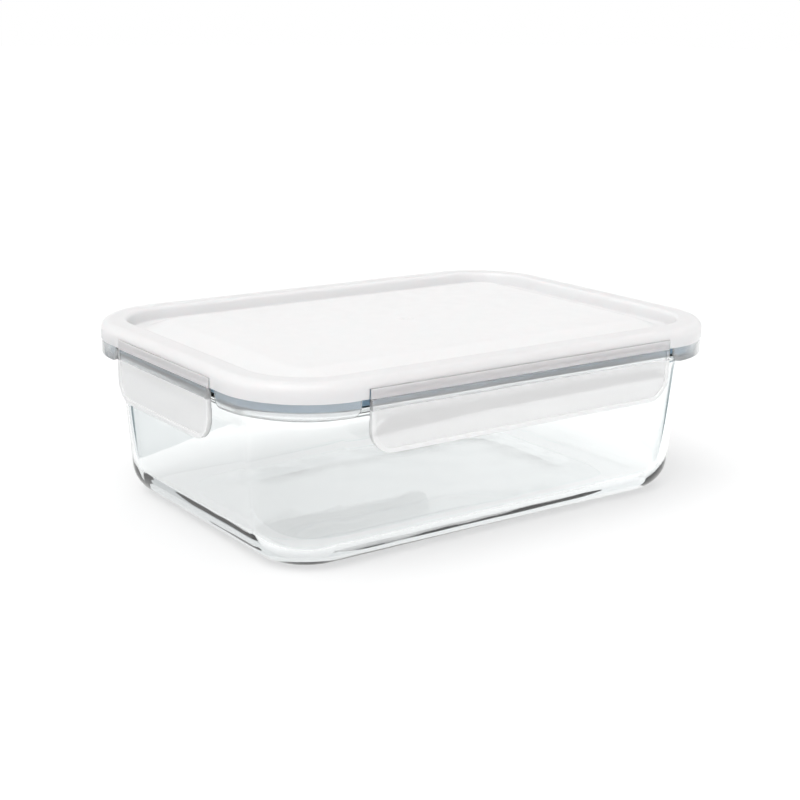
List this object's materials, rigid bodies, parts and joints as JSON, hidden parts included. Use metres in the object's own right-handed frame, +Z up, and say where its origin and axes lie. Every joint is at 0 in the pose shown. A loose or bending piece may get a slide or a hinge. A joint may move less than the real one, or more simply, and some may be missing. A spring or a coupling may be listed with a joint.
{
  "type": "snap lid food container",
  "caption": "Rectangular glass food dish with a translucent lid, a seal and flaps on all sides that snap under the dish's flange.",
  "frame": {"origin": "centre of the base, on the surface that the dish stands on", "axes": "+X along the long side, +Y along the short side towards the back, +Z up"},
  "size_m": [0.2116, 0.1516, 0.069],
  "materials": {
    "clear_glass": "clear pressed borosilicate glass, polished",
    "frosted_lid": "translucent white polypropylene, fine matt texture",
    "clear_flap": "translucent polypropylene, clear where it is thin",
    "silicone_seal": "translucent blue-grey silicone, matt"
  },
  "bodies": {
    "dish": {"glass_dish": "clear_glass"},
    "lid": {"lid": "frosted_lid", "seal": "silicone_seal", "hinge_web_front": "frosted_lid", "hinge_web_back": "frosted_lid", "hinge_web_left": "frosted_lid", "hinge_web_right": "frosted_lid"},
    "flap_front": {"flap_front": "clear_flap"},
    "flap_back": {"flap_back": "clear_flap"},
    "flap_left": {"flap_left": "clear_flap"},
    "flap_right": {"flap_right": "clear_flap"}
  },
  "joints": [
    {"name": "lid_lift", "type": "slide", "parent": "dish", "child": "lid", "axis": [0, 0, 1], "range_m": [0, 0.12]},
    {"name": "flap_front_hinge", "type": "hinge", "parent": "lid", "child": "flap_front", "pos_m": [0, -0.07505, 0.06373], "axis": [-1, 0, 0], "range_deg": [0, 140]},
    {"name": "flap_back_hinge", "type": "hinge", "parent": "lid", "child": "flap_back", "pos_m": [0, 0.07505, 0.06373], "axis": [1, 0, 0], "range_deg": [0, 140]},
    {"name": "flap_left_hinge", "type": "hinge", "parent": "lid", "child": "flap_left", "pos_m": [-0.10505, 0, 0.06373], "axis": [0, 1, 0], "range_deg": [0, 140]},
    {"name": "flap_right_hinge", "type": "hinge", "parent": "lid", "child": "flap_right", "pos_m": [0.10505, 0, 0.06373], "axis": [0, -1, 0], "range_deg": [0, 140]}
  ]
}
